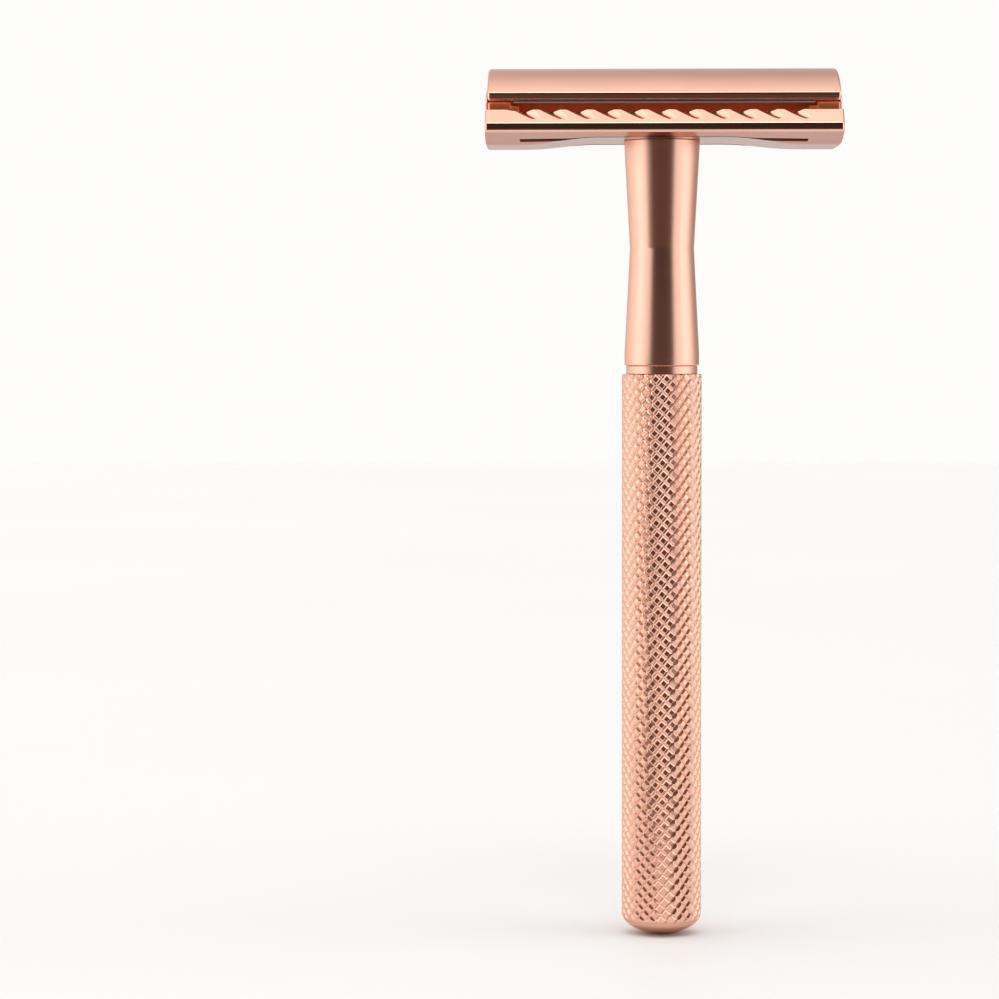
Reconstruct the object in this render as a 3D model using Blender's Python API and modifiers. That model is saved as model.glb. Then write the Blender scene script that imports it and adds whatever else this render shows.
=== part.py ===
"""Three-piece double-edge safety razor, standing upright on the domed end of its handle.

Metres, +Z up, +X along the length of the head, -Y the side that faces the user. The handle unscrews
from a stud in the cap; the guard plate and the blade are clamped between the cap and the neck.
"""
from math import asin, cos, pi, radians, sin

import bmesh
import bpy
from mathutils import Vector

MM = 0.001

# Driving sizes, millimetres. Heights are above the lowest point of the handle.
TOTAL_HEIGHT = 110.0
CAP_LENGTH = 43.8
CAP_WIDTH = 20.9
CAP_RISE = 3.6
CAP_LIP = 0.5
CAP_CHAMFER = 0.25
PLATE_LENGTH = 44.4
PLATE_WIDTH = 24.8
BLADE_LENGTH = 43.0
BLADE_WIDTH = 22.0
BLADE_THICKNESS = 0.1
BLADE_BEND_RADIUS = 24.0
BLADE_CROWN = 107.55
CLAMP_GAP = 0.05
PIN_SPACING = 24.4
PIN_RADIUS = 1.2
STUD_RADIUS = 2.5
THREAD_PITCH = 0.8
THREAD_DEPTH = 0.35
NECK_TOP = 100.92
NECK_WAIST = 87.3
NECK_BOTTOM = 72.5
GRIP_RADIUS = 5.07
GRIP_TOP = 71.4
GRIP_BOTTOM = 1.9
DOME_HEIGHT = 2.65
RING_RADIUS = 4.53
ROD_RADIUS = 2.45
FIT = 0.1
FACE_GAP = 0.04
ROUND = 64
FINE_ROUND = 24

ROSE_GOLD = (0.80, 0.49, 0.37)
STEEL = (0.62, 0.61, 0.59)
BRASS = (0.72, 0.55, 0.25)


def remove_old_objects():
    for old in list(bpy.data.objects):
        bpy.data.objects.remove(old, do_unlink=True)


def new_collection(name):
    collection = bpy.data.collections.new(name)
    bpy.context.scene.collection.children.link(collection)
    return collection


def metal(name, colour, roughness):
    material = bpy.data.materials.new(name)
    material.use_nodes = True
    shader = material.node_tree.nodes["Principled BSDF"]
    shader.inputs["Base Color"].default_value = (*colour, 1.0)
    shader.inputs["Roughness"].default_value = roughness
    shader.inputs["Metallic"].default_value = 1.0
    return material


def add_mesh(name, mesh, collection, material=None):
    piece = bpy.data.objects.new(name, mesh)
    collection.objects.link(piece)
    if material is not None:
        piece.data.materials.append(material)
    return piece


def turned(name, profile, collection, material, closed=False, steps=ROUND):
    """A turned piece. profile is (radius, height) in mm, down the outside from the top."""
    mesh = bpy.data.meshes.new(name)
    points = [(r * MM, 0.0, z * MM) for r, z in profile]
    edges = [(i, i + 1) for i in range(len(points) - 1)]
    if closed:
        edges.append((len(points) - 1, 0))
    mesh.from_pydata(points, edges, [])
    piece = add_mesh(name, mesh, collection, material)
    screw = piece.modifiers.new("turn", "SCREW")
    screw.axis = "Z"
    screw.steps = steps
    screw.render_steps = steps
    screw.use_merge_vertices = True
    screw.merge_threshold = 0.000001
    screw.use_smooth_shade = True
    return piece


def as_mesh(piece, collection):
    """Turn a curve or a piece with modifiers into a plain welded mesh under the same name."""
    bpy.context.view_layer.update()
    evaluated = piece.evaluated_get(bpy.context.evaluated_depsgraph_get())
    mesh = bpy.data.meshes.new_from_object(evaluated)
    name = piece.name
    matrix = piece.matrix_world.copy()
    bpy.data.objects.remove(piece, do_unlink=True)
    mesh.transform(matrix)
    work = bmesh.new()
    work.from_mesh(mesh)
    bmesh.ops.remove_doubles(work, verts=work.verts, dist=0.000001)
    bmesh.ops.recalc_face_normals(work, faces=work.faces)
    work.to_mesh(mesh)
    work.free()
    mesh.name = name
    return add_mesh(name, mesh, collection)


def extruded(name, outline, thickness, collection, rotation=(0.0, 0.0, 0.0), place=(0.0, 0.0, 0.0)):
    """A flat outline in mm, made solid by its thickness, as a welded mesh."""
    curve = bpy.data.curves.new(name, "CURVE")
    curve.dimensions = "2D"
    curve.fill_mode = "BOTH"
    curve.extrude = thickness * MM / 2
    spline = curve.splines.new("POLY")
    spline.points.add(len(outline) - 1)
    for point, (u, v) in zip(spline.points, outline):
        point.co = (u * MM, v * MM, 0.0, 1.0)
    spline.use_cyclic_u = True
    piece = bpy.data.objects.new(name, curve)
    piece.rotation_euler = rotation
    piece.location = Vector(place) * MM
    collection.objects.link(piece)
    return as_mesh(piece, collection)


ALONG_X = (pi / 2, 0.0, pi / 2)
ALONG_Y = (pi / 2, 0.0, 0.0)


def cylinder(name, radius, length, centre, collection, direction=(0.0, 0.0, 1.0), sides=32):
    bpy.ops.mesh.primitive_cylinder_add(vertices=sides, radius=radius * MM, depth=length * MM)
    piece = bpy.context.object
    piece.name = name
    piece.location = Vector(centre) * MM
    piece.rotation_euler = Vector(direction).to_track_quat("Z", "Y").to_euler()
    for other in list(piece.users_collection):
        other.objects.unlink(piece)
    collection.objects.link(piece)
    return piece


def block(name, low, high, collection):
    bpy.ops.mesh.primitive_cube_add(size=1.0)
    piece = bpy.context.object
    piece.name = name
    piece.location = (Vector(low) + Vector(high)) / 2 * MM
    piece.dimensions = (Vector(high) - Vector(low)) * MM
    for other in list(piece.users_collection):
        other.objects.unlink(piece)
    collection.objects.link(piece)
    return piece


def combine(piece, tool, operation):
    modifier = piece.modifiers.new(tool.name, "BOOLEAN")
    modifier.operation = operation
    modifier.solver = "EXACT"
    modifier.object = tool
    tool.hide_render = True
    tool.display_type = "WIRE"


def cut(piece, tool):
    combine(piece, tool, "DIFFERENCE")


def arc_points(radius, crown, half_width, steps):
    """Points of an arch over the X axis, from -half_width to +half_width, its top at crown."""
    reach = asin(half_width / radius)
    angles = [-reach + 2 * reach * i / steps for i in range(steps + 1)]
    return [(radius * sin(a), crown - radius * (1 - cos(a))) for a in angles]


# Heights in the head that follow from the blade's bend and the cap's arch.
CAP_HALF = CAP_WIDTH / 2
CAP_SHOULDER = TOTAL_HEIGHT - CAP_RISE
CAP_LIP_BOTTOM = CAP_SHOULDER - CAP_LIP
CAP_ARCH_RADIUS = (CAP_HALF**2 + CAP_RISE**2) / (2 * CAP_RISE)
UNDER_CAP_RADIUS = BLADE_BEND_RADIUS + BLADE_THICKNESS / 2 + CLAMP_GAP
UNDER_CAP_CROWN = BLADE_CROWN + BLADE_THICKNESS / 2 + CLAMP_GAP
BED_RADIUS = BLADE_BEND_RADIUS - BLADE_THICKNESS / 2 - CLAMP_GAP
BED_CROWN = BLADE_CROWN - BLADE_THICKNESS / 2 - CLAMP_GAP
SOCKET_DEPTH = 1.1


def make_top_cap(parts, cutters, material):
    """Arched cap with a short upright lip, and blind sockets for the stud and the two pins."""
    top = arc_points(CAP_ARCH_RADIUS, TOTAL_HEIGHT, CAP_HALF, 28)
    under = arc_points(UNDER_CAP_RADIUS, UNDER_CAP_CROWN, CAP_HALF - CAP_CHAMFER, 28)
    outline = top + [(CAP_HALF, CAP_LIP_BOTTOM)] + under[::-1] + [(-CAP_HALF, CAP_LIP_BOTTOM)]
    cap = extruded("top_cap", outline, CAP_LENGTH, parts, ALONG_X)
    cap.data.materials.append(material)
    socket_top = UNDER_CAP_CROWN + SOCKET_DEPTH
    sockets = [("stud_socket", 0.0, STUD_RADIUS + FIT)]
    sockets += [(f"pin_socket_{i}", side * PIN_SPACING / 2, PIN_RADIUS + FIT / 2)
                for i, side in enumerate((-1, 1))]
    for name, x, radius in sockets:
        cut(cap, cylinder(name, radius, 6.0, (x, 0.0, socket_top - 3.0), cutters))
    bevel = cap.modifiers.new("edges", "BEVEL")
    bevel.width = 0.12 * MM
    bevel.segments = 2
    bevel.limit_method = "ANGLE"
    bevel.angle_limit = radians(50)
    return cap


STUD_TOP = UNDER_CAP_CROWN + SOCKET_DEPTH - FACE_GAP
STUD_BOTTOM = 92.6


def make_cap_stud(parts, material):
    """M5 stud. Its thread is drawn as rings, one to each pitch."""
    crest = STUD_RADIUS - 0.02
    root = crest - THREAD_DEPTH
    thread_top = BED_CROWN - 1.0
    profile = [(0.0, STUD_TOP), (crest, STUD_TOP), (crest, thread_top)]
    turns = int((thread_top - STUD_BOTTOM) / THREAD_PITCH)
    for i in range(turns):
        z = thread_top - i * THREAD_PITCH
        profile.append((root, z - THREAD_PITCH / 2))
        profile.append((crest, z - THREAD_PITCH))
    profile += [(root, STUD_BOTTOM), (0.0, STUD_BOTTOM)]
    return turned("cap_stud", profile, parts, material, steps=FINE_ROUND)


PIN_TOP = UNDER_CAP_CROWN + SOCKET_DEPTH - 0.4
PIN_BOTTOM = 102.6


def make_locating_pin(name, x, parts, material):
    """Dowel with a chamfered tip that passes through the blade and the guard plate."""
    tip = 0.35
    profile = [(0.0, PIN_TOP), (PIN_RADIUS, PIN_TOP), (PIN_RADIUS, PIN_BOTTOM + tip),
               (PIN_RADIUS - tip, PIN_BOTTOM), (0.0, PIN_BOTTOM)]
    pin = turned(name, profile, parts, material, steps=FINE_ROUND)
    pin.location.x = x * MM
    return pin


BLADE_TAB_WIDTH = 13.0
BLADE_EDGE_LENGTH = 37.3
BLADE_SLOT_LENGTH = 33.0
BLADE_SLOT_WIDTH = 1.7


def make_blade(parts, cutters, material):
    """Standard slotted blade, bent by the clamp: notched corners and a long slot with three eyes."""
    reach = BLADE_BEND_RADIUS * sin(BLADE_WIDTH / 2 / BLADE_BEND_RADIUS)
    half = BLADE_THICKNESS / 2
    over = arc_points(BLADE_BEND_RADIUS + half, BLADE_CROWN + half, reach, 28)
    under = arc_points(BLADE_BEND_RADIUS - half, BLADE_CROWN - half, reach - 0.02, 28)
    blade = extruded("double_edge_blade", over + under[::-1], BLADE_LENGTH, parts, ALONG_X)
    blade.data.materials.append(material)
    low, high = BLADE_CROWN - 6.0, BLADE_CROWN + 3.0
    for side_x in (-1, 1):
        for side_y in (-1, 1):
            xs = sorted((side_x * BLADE_EDGE_LENGTH / 2, side_x * BLADE_LENGTH))
            ys = sorted((side_y * BLADE_TAB_WIDTH / 2, side_y * BLADE_WIDTH))
            cut(blade, block("notch", (xs[0], ys[0], low), (xs[1], ys[1], high), cutters))
    slot_end = BLADE_SLOT_LENGTH / 2
    slot_side = BLADE_SLOT_WIDTH / 2
    slot = block("blade_slot", (-slot_end, -slot_side, low), (slot_end, slot_side, high), cutters)
    cut(blade, slot)
    eyes = [(0.0, 3.1)] + [(side * PIN_SPACING / 2, 1.75) for side in (-1, 1)]
    for x, radius in eyes:
        cut(blade, cylinder("blade_eye", radius, 9.0, (x, 0.0, BLADE_CROWN), cutters))
    return blade


# Guard plate section, seen along the head.
PLATE_HALF = PLATE_WIDTH / 2
BAR_TOP = 104.33
BAR_TOP_INSET = 1.7
NOSE_TOP = 102.53
NOSE_BOTTOM = 101.7
BAR_UNDERSIDE = 101.4
PAD_BOTTOM = 100.05
PAD_HALF_WIDTH = 7.0
BELLY_BOTTOM = 100.95
CHANNEL_FLOOR = 103.1
BED_HALF_WIDTH = 7.9
BAR_INNER = 10.25
LATHER_SLOT_WIDTH = 1.5
LATHER_SLOT_HALF_LENGTH = 17.9
SCALLOPS = 11
SCALLOP_PITCH = 3.36
SCALLOP_RADIUS = 0.85


def plate_section():
    """Closed outline (depth, height) of the plate: bed on top, a guard bar along each side."""
    bed = arc_points(BED_RADIUS, BED_CROWN, BED_HALF_WIDTH, 24)
    bar_edge = PLATE_HALF - BAR_TOP_INSET
    right = [(BED_HALF_WIDTH, CHANNEL_FLOOR), (BAR_INNER, CHANNEL_FLOOR), (BAR_INNER, BAR_TOP - 0.35),
             (bar_edge - 0.15, BAR_TOP), (bar_edge, BAR_TOP), (PLATE_HALF - 0.08, NOSE_TOP + 0.1),
             (PLATE_HALF, NOSE_TOP), (PLATE_HALF, NOSE_BOTTOM), (PLATE_HALF - 0.25, BAR_UNDERSIDE),
             (PAD_HALF_WIDTH, PAD_BOTTOM)]
    left = [(-y, z) for y, z in right[::-1]]
    return bed + right + left


def belly_cutter(cutters):
    """Lifts the underside between the two end pads, in a smooth curve along the head."""
    flat, pad = 8.0, 18.0
    steps = 14
    line = []
    for i in range(steps + 1):
        t = i / steps
        rise = 0.5 + 0.5 * cos(pi * t)
        line.append((flat + (pad - flat) * t, PAD_BOTTOM + (BELLY_BOTTOM - PAD_BOTTOM) * rise))
    outline = [(-x, z) for x, z in line[::-1]] + line
    outline += [(pad, PAD_BOTTOM - 3.0), (-pad, PAD_BOTTOM - 3.0)]
    return extruded("belly", outline, 2 * PLATE_WIDTH, cutters, ALONG_Y)


def lather_slot(side, cutters):
    """Long slot behind a guard bar, bowed slightly towards it."""
    middle, end = 9.2, 8.75
    bow = middle - end
    radius = (LATHER_SLOT_HALF_LENGTH**2 + bow**2) / (2 * bow)
    reach = asin(LATHER_SLOT_HALF_LENGTH / radius)
    steps = 20
    outline = []
    for offset, order in ((LATHER_SLOT_WIDTH / 2, 1), (-LATHER_SLOT_WIDTH / 2, -1)):
        for i in range(steps + 1)[::order]:
            a = -reach + 2 * reach * i / steps
            x = (radius + offset) * sin(a)
            y = side * (middle - radius + (radius + offset) * cos(a))
            outline.append((x, y))
    place = (0.0, 0.0, (PAD_BOTTOM + CHANNEL_FLOOR) / 2)
    return extruded("lather_slot", outline, 6.0, cutters, place=place)


def scallop_cutter(x, side, cutters):
    """Round groove that runs askew up the bar's sloping face, deepest at the top edge."""
    down = Vector((side * x + 1.35 / 2, -PLATE_HALF + 0.1, NOSE_TOP + 0.12))
    up = Vector((side * x - 1.35 / 2, -PLATE_HALF + BAR_TOP_INSET, BAR_TOP))
    normal = Vector((0.0, -(up.z - down.z), up.y - down.y)).normalized()
    down += normal * (SCALLOP_RADIUS - 0.02)
    up += normal * (SCALLOP_RADIUS - 0.62)
    if side < 0:
        down = Vector((-down.x, -down.y, down.z))
        up = Vector((-up.x, -up.y, up.z))
    middle = (down + up) / 2
    length = (up - down).length * 2.4
    return cylinder("scallop", SCALLOP_RADIUS, length, middle, cutters, up - down, sides=24)


def make_guard_plate(parts, cutters, material):
    """Base plate with a curved blade bed, two scalloped guard bars and four stepped corner posts."""
    plate = extruded("guard_plate", plate_section(), PLATE_LENGTH, parts, ALONG_X)
    plate.data.materials.append(material)
    cut(plate, belly_cutter(cutters))
    for side_x in (-1, 1):
        for side_y in (-1, 1):
            ys = sorted((side_y * 7.6, side_y * 10.28))
            for inner, outer, top in ((17.95, 19.2, 104.75), (18.95, 21.8, 105.2)):
                xs = sorted((side_x * inner, side_x * outer))
                post = block("corner_post", (xs[0], ys[0], 102.6), (xs[1], ys[1], top), cutters)
                combine(plate, post, "UNION")
    for side in (-1, 1):
        cut(plate, lather_slot(side, cutters))
        for i in range(SCALLOPS):
            x = (i - (SCALLOPS - 1) / 2) * SCALLOP_PITCH
            cut(plate, scallop_cutter(x, side, cutters))
        place = (side * PIN_SPACING / 2, 0.0, PIN_BOTTOM - 0.3 + 6.0)
        cut(plate, cylinder("pin_hole", PIN_RADIUS + 0.25, 12.0, place, cutters))
    cut(plate, cylinder("stud_hole", STUD_RADIUS + 0.2, 12.0, (0.0, 0.0, 104.0), cutters, sides=ROUND))
    return plate


INSERT_RADIUS = 3.4
INSERT_BOTTOM = 91.2


def make_neck(parts, material):
    """Waisted neck: two cones that meet at the waist, bored from both ends."""
    top_radius, waist_radius, foot_radius = 4.81, 4.06, 4.74
    edge = 0.12
    rod_bore_top = 82.0
    profile = [
        (INSERT_RADIUS + FIT, NECK_TOP), (top_radius - edge, NECK_TOP), (top_radius, NECK_TOP - edge),
        (waist_radius, NECK_WAIST), (foot_radius, 74.0), (foot_radius, NECK_BOTTOM + edge),
        (foot_radius - edge, NECK_BOTTOM), (ROD_RADIUS + FIT, NECK_BOTTOM),
        (ROD_RADIUS + FIT, rod_bore_top), (0.0, rod_bore_top)]
    bore = [(0.0, INSERT_BOTTOM - FACE_GAP), (INSERT_RADIUS + FIT, INSERT_BOTTOM - FACE_GAP)]
    return turned("neck", bore + profile, parts, material)


def make_thread_insert(parts, material):
    """Brass bush in the neck's top that carries the female thread."""
    bore = STUD_RADIUS + 0.08
    top = NECK_TOP - 0.3
    profile = [(bore, top), (INSERT_RADIUS, top), (INSERT_RADIUS, INSERT_BOTTOM), (bore, INSERT_BOTTOM)]
    return turned("thread_insert", profile, parts, material, closed=True)


def make_collar_ring(parts, material):
    """Spacer ring that leaves a shallow groove between neck and grip."""
    top, bottom = NECK_BOTTOM - FACE_GAP, GRIP_TOP + FACE_GAP
    bore = ROD_RADIUS + FIT
    profile = [(bore, top), (RING_RADIUS, top), (RING_RADIUS, bottom), (bore, bottom)]
    return turned("collar_ring", profile, parts, material, closed=True)


SPIGOT_RADIUS = 4.0
SPIGOT_TOP = 9.0


def dome_points(top, bottom, steps):
    """Outline of the handle's domed end, part of an ellipse, from height top down to bottom."""
    start, end = asin(1 - top / DOME_HEIGHT), asin(1 - bottom / DOME_HEIGHT)
    angles = [start + (end - start) * i / steps for i in range(steps + 1)]
    points = [(GRIP_RADIUS * cos(a), DOME_HEIGHT * (1 - sin(a))) for a in angles]
    if bottom == 0.0:
        points[-1] = (0.0, 0.0)
    return points


def make_grip(parts, material):
    """Sleeve over the tie rod: its foot turns in to meet the end cap and is counterbored for it."""
    bore = ROD_RADIUS + 2 * FIT
    seat = SPIGOT_RADIUS + FIT
    edge = 0.1
    head = [(bore, GRIP_TOP), (GRIP_RADIUS - edge, GRIP_TOP), (GRIP_RADIUS, GRIP_TOP - edge)]
    foot = dome_points(DOME_HEIGHT, GRIP_BOTTOM, 4)
    inside = [(seat, GRIP_BOTTOM), (seat, SPIGOT_TOP + FIT), (bore, SPIGOT_TOP + FIT)]
    return turned("grip", head + foot + inside, parts, material, closed=True)


ROD_TOP = 81.0
ROD_BOTTOM = 3.2


def make_tie_rod(parts, material):
    """Steel rod that draws the end cap, grip, ring and neck together."""
    edge = 0.3
    profile = [(0.0, ROD_TOP), (ROD_RADIUS - edge, ROD_TOP), (ROD_RADIUS, ROD_TOP - edge),
               (ROD_RADIUS, ROD_BOTTOM + edge), (ROD_RADIUS - edge, ROD_BOTTOM), (0.0, ROD_BOTTOM)]
    return turned("tie_rod", profile, parts, material)


def make_end_cap(parts, material):
    """Shallow dome under the grip, with a bored spigot that the tie rod screws into."""
    rim = GRIP_BOTTOM - FACE_GAP
    bore = ROD_RADIUS + FIT
    profile = [(0.0, ROD_BOTTOM - 0.3), (bore, ROD_BOTTOM - 0.3), (bore, SPIGOT_TOP),
               (SPIGOT_RADIUS, SPIGOT_TOP), (SPIGOT_RADIUS, rim)]
    return turned("end_cap", profile + dome_points(rim, 0.0, 12), parts, material)


def main():
    remove_old_objects()
    parts = new_collection("safety_razor")
    cutters = new_collection("cutters")
    polished = metal("polished_rose_gold", ROSE_GOLD, 0.12)
    satin = metal("satin_rose_gold", ROSE_GOLD, 0.3)
    knurled = metal("knurled_rose_gold", ROSE_GOLD, 0.25)
    plain_steel = metal("plain_steel", STEEL, 0.3)
    blade_steel = metal("blade_steel", STEEL, 0.2)
    brass = metal("brass", BRASS, 0.35)
    make_top_cap(parts, cutters, polished)
    make_cap_stud(parts, plain_steel)
    make_locating_pin("locating_pin_left", -PIN_SPACING / 2, parts, plain_steel)
    make_locating_pin("locating_pin_right", PIN_SPACING / 2, parts, plain_steel)
    make_blade(parts, cutters, blade_steel)
    make_guard_plate(parts, cutters, polished)
    make_neck(parts, satin)
    make_thread_insert(parts, brass)
    make_collar_ring(parts, satin)
    make_grip(parts, knurled)
    make_tie_rod(parts, plain_steel)
    make_end_cap(parts, polished)


main()
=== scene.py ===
"""Looks for the safety razor: polished head, satin neck and a cut diamond knurl, in a soft studio."""
from math import asin, atan2, ceil, cos, hypot, pi, radians, sin, sqrt, tan

import bmesh
import bpy
from mathutils import Matrix, Vector


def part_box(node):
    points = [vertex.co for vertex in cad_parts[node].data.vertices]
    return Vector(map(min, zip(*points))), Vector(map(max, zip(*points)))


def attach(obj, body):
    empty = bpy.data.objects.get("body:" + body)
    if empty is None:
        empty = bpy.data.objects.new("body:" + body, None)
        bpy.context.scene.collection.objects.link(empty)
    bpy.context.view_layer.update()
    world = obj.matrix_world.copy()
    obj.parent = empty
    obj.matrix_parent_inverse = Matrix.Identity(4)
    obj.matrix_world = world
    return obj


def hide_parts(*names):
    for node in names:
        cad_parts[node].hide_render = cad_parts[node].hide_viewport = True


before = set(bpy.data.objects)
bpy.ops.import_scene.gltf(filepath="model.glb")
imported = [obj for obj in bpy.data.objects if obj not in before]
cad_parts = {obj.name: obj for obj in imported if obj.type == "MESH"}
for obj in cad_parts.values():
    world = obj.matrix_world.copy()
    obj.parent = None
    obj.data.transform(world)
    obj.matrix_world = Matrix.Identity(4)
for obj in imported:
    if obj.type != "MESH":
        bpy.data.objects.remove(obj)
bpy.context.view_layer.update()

MM = 0.001
# Tolerances, mm: a radius that counts as none, and a height that counts as the same.
TINY = 1e-6
ON_LEVEL = 1e-4


# ---------------------------------------------------------------- sizes read from the frame, mm

def box_mm(node):
    low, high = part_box(node)
    return low / MM, high / MM


CAP_LOW, CAP_HIGH = box_mm("top_cap")
PLATE_LOW, PLATE_HIGH = box_mm("guard_plate")
BLADE_LOW, BLADE_HIGH = box_mm("double_edge_blade")
STUD_LOW, STUD_HIGH = box_mm("cap_stud")
PIN_LOW, PIN_HIGH = box_mm("locating_pin_right")
NECK_LOW, NECK_HIGH = box_mm("neck")
RING_LOW, RING_HIGH = box_mm("collar_ring")
GRIP_LOW, GRIP_HIGH = box_mm("grip")
END_HIGH = box_mm("end_cap")[1]


# ---------------------------------------------------------------- mesh helpers, all in mm

def finished(name, work, sharp_angle=35.0):
    """Turn a bmesh drawn in mm into an object in metres, smooth except across sharp edges."""
    bmesh.ops.recalc_face_normals(work, faces=work.faces)
    for vert in work.verts:
        vert.co *= MM
    mesh = bpy.data.meshes.new(name)
    work.to_mesh(mesh)
    work.free()
    mesh.polygons.foreach_set("use_smooth", [True] * len(mesh.polygons))
    mesh.set_sharp_from_angle(angle=radians(sharp_angle))
    piece = bpy.data.objects.new(name, mesh)
    bpy.context.scene.collection.objects.link(piece)
    return piece


def add_rings(work, rings):
    """Skin a list of closed rings with quads, with a flat face over each end."""
    rows = [[work.verts.new(point) for point in ring] for ring in rings]
    count = len(rows[0])
    for lower, upper in zip(rows, rows[1:]):
        for i in range(count):
            j = (i + 1) % count
            work.faces.new((lower[i], lower[j], upper[j], upper[i]))
    work.faces.new(rows[0])
    work.faces.new(rows[-1])


def circle(radius, z, segments, x=0.0):
    """Points of a level circle round the upright line at x."""
    angles = [2 * pi * i / segments for i in range(segments)]
    return [(x + radius * cos(a), radius * sin(a), z) for a in angles]


def turned(name, profile, segments=192, closed=False, crease_at=None):
    """Lathe a profile of (radius, height). It runs from axis to axis, or is a closed loop.

    crease_at is a height where the surface has a crisp ring, too shallow to be sharp by its angle.
    """
    work = bmesh.new()
    rows = []
    for r, z in profile:
        ring = [(0.0, 0.0, z)] if r < TINY else circle(r, z, segments)
        rows.append([work.verts.new(point) for point in ring])
    pairs = list(zip(rows, rows[1:]))
    if closed:
        pairs.append((rows[-1], rows[0]))
    for upper, lower in pairs:
        for i in range(segments):
            j = (i + 1) % segments
            corners = [upper[i % len(upper)], upper[j % len(upper)],
                       lower[j % len(lower)], lower[i % len(lower)]]
            face = list(dict.fromkeys(corners))
            if len(face) > 2:
                work.faces.new(face)
    piece = finished(name, work)
    if crease_at is not None:
        mesh = piece.data
        for edge in mesh.edges:
            ends = [mesh.vertices[v].co.z / MM for v in edge.vertices]
            if all(abs(z - crease_at) < 10 * ON_LEVEL for z in ends):
                edge.use_edge_sharp = True
    return piece


def rounded(corners, arc_steps=5):
    """Closed outline from (u, v, radius, step): fillets each corner, then splits each edge by step."""
    count = len(corners)
    arcs = []
    for i, (u, v, radius, step) in enumerate(corners):
        here = Vector((u, v))
        back = Vector(corners[i - 1][:2]) - here
        ahead = Vector(corners[(i + 1) % count][:2]) - here
        opening = back.angle(ahead)
        if radius <= 0 or opening > radians(179):
            arcs.append([here])
            continue
        reach = min(radius / tan(opening / 2), 0.49 * back.length, 0.49 * ahead.length)
        radius = reach * tan(opening / 2)
        bisector = (back.normalized() + ahead.normalized()).normalized()
        centre = here + bisector * (radius / sin(opening / 2))
        start = here + back.normalized() * reach - centre
        end = here + ahead.normalized() * reach - centre
        sweep = start.angle_signed(end)
        arcs.append([centre + Matrix.Rotation(-sweep * k / arc_steps, 2) @ start
                     for k in range(arc_steps + 1)])
    outline = []
    for i, arc in enumerate(arcs):
        outline += arc
        step = corners[i][3]
        start, end = arc[-1], arcs[(i + 1) % count][0]
        pieces = max(1, ceil((end - start).length / step)) if step else 1
        outline += [start.lerp(end, k / pieces) for k in range(1, pieces)]
    return [(p.x, p.y) for p in outline]


def arch(radius, crown, half_width, steps):
    """Points (u, v) of an arch from -half_width to +half_width with its top at v = crown."""
    reach = asin(half_width / radius)
    angles = [-reach + 2 * reach * i / steps for i in range(steps + 1)]
    return [(radius * sin(a), crown - radius * (1 - cos(a))) for a in angles]


def boolean(piece, tools, operation="DIFFERENCE"):
    """Cut several tools from a piece, or join them to it, and remove the tools."""
    for tool in tools:
        modifier = piece.modifiers.new(tool.name, "BOOLEAN")
        modifier.operation = operation
        modifier.solver = "EXACT"
        modifier.object = tool
    bpy.context.view_layer.update()
    evaluated = piece.evaluated_get(bpy.context.evaluated_depsgraph_get())
    mesh = bpy.data.meshes.new_from_object(evaluated)
    piece.modifiers.clear()
    piece.data = mesh
    for tool in tools:
        bpy.data.objects.remove(tool, do_unlink=True)


def place(piece, materials, body, slot, *nodes):
    """Complete a piece: its materials, the body it rides on and the CAD nodes it stands for."""
    piece.data.materials.clear()
    for material in materials:
        piece.data.materials.append(material)
    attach(piece, body)
    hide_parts(*nodes)


# ---------------------------------------------------------------- materials

def shader_nodes(name):
    material = bpy.data.materials.new(name)
    material.use_nodes = True
    nodes = material.node_tree.nodes
    return material, nodes, material.node_tree.links, nodes["Principled BSDF"]


def stretched_noise(nodes, links, scale, detail=3.0):
    """Noise in object space, with its own scale along each axis."""
    coordinates = nodes.new("ShaderNodeTexCoord")
    mapping = nodes.new("ShaderNodeMapping")
    mapping.inputs["Scale"].default_value = scale
    noise = nodes.new("ShaderNodeTexNoise")
    noise.inputs["Scale"].default_value = 1.0
    noise.inputs["Detail"].default_value = detail
    links.new(coordinates.outputs["Object"], mapping.inputs["Vector"])
    links.new(mapping.outputs["Vector"], noise.inputs["Vector"])
    return noise.outputs["Fac"]


def metal(name, colour, roughness, grain, bump, tone=0.05, edge=0.6):
    """Plated or plain metal: slight tone drift, and a grain that varies roughness and bump.

    grain is the noise scale per metre along X, Y and Z, so a large Z scale gives turned lines.
    edge is how pale the metal goes where it is seen at a low angle.
    """
    material, nodes, links, shader = shader_nodes(name)
    shader.inputs["Metallic"].default_value = 1.0
    shader.inputs["Specular Tint"].default_value = (*[edge + (1 - edge) * c for c in colour], 1.0)
    drift = stretched_noise(nodes, links, (90.0, 90.0, 60.0), 2.0)
    ramp = nodes.new("ShaderNodeValToRGB")
    ramp.color_ramp.elements[0].position = 0.3
    ramp.color_ramp.elements[0].color = (*[c * (1 - tone) for c in colour], 1.0)
    ramp.color_ramp.elements[1].position = 0.7
    ramp.color_ramp.elements[1].color = (*[min(1.0, c * (1 + tone / 3)) for c in colour], 1.0)
    links.new(drift, ramp.inputs["Fac"])
    links.new(ramp.outputs["Color"], shader.inputs["Base Color"])
    fine = stretched_noise(nodes, links, grain, 4.0)
    spread = nodes.new("ShaderNodeMapRange")
    spread.inputs["To Min"].default_value = roughness * 0.8
    spread.inputs["To Max"].default_value = roughness * 1.2
    links.new(fine, spread.inputs["Value"])
    links.new(spread.outputs["Result"], shader.inputs["Roughness"])
    relief = nodes.new("ShaderNodeBump")
    relief.inputs["Strength"].default_value = 1.0
    relief.inputs["Distance"].default_value = bump * MM
    links.new(fine, relief.inputs["Height"])
    links.new(relief.outputs["Normal"], shader.inputs["Normal"])
    return material


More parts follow.
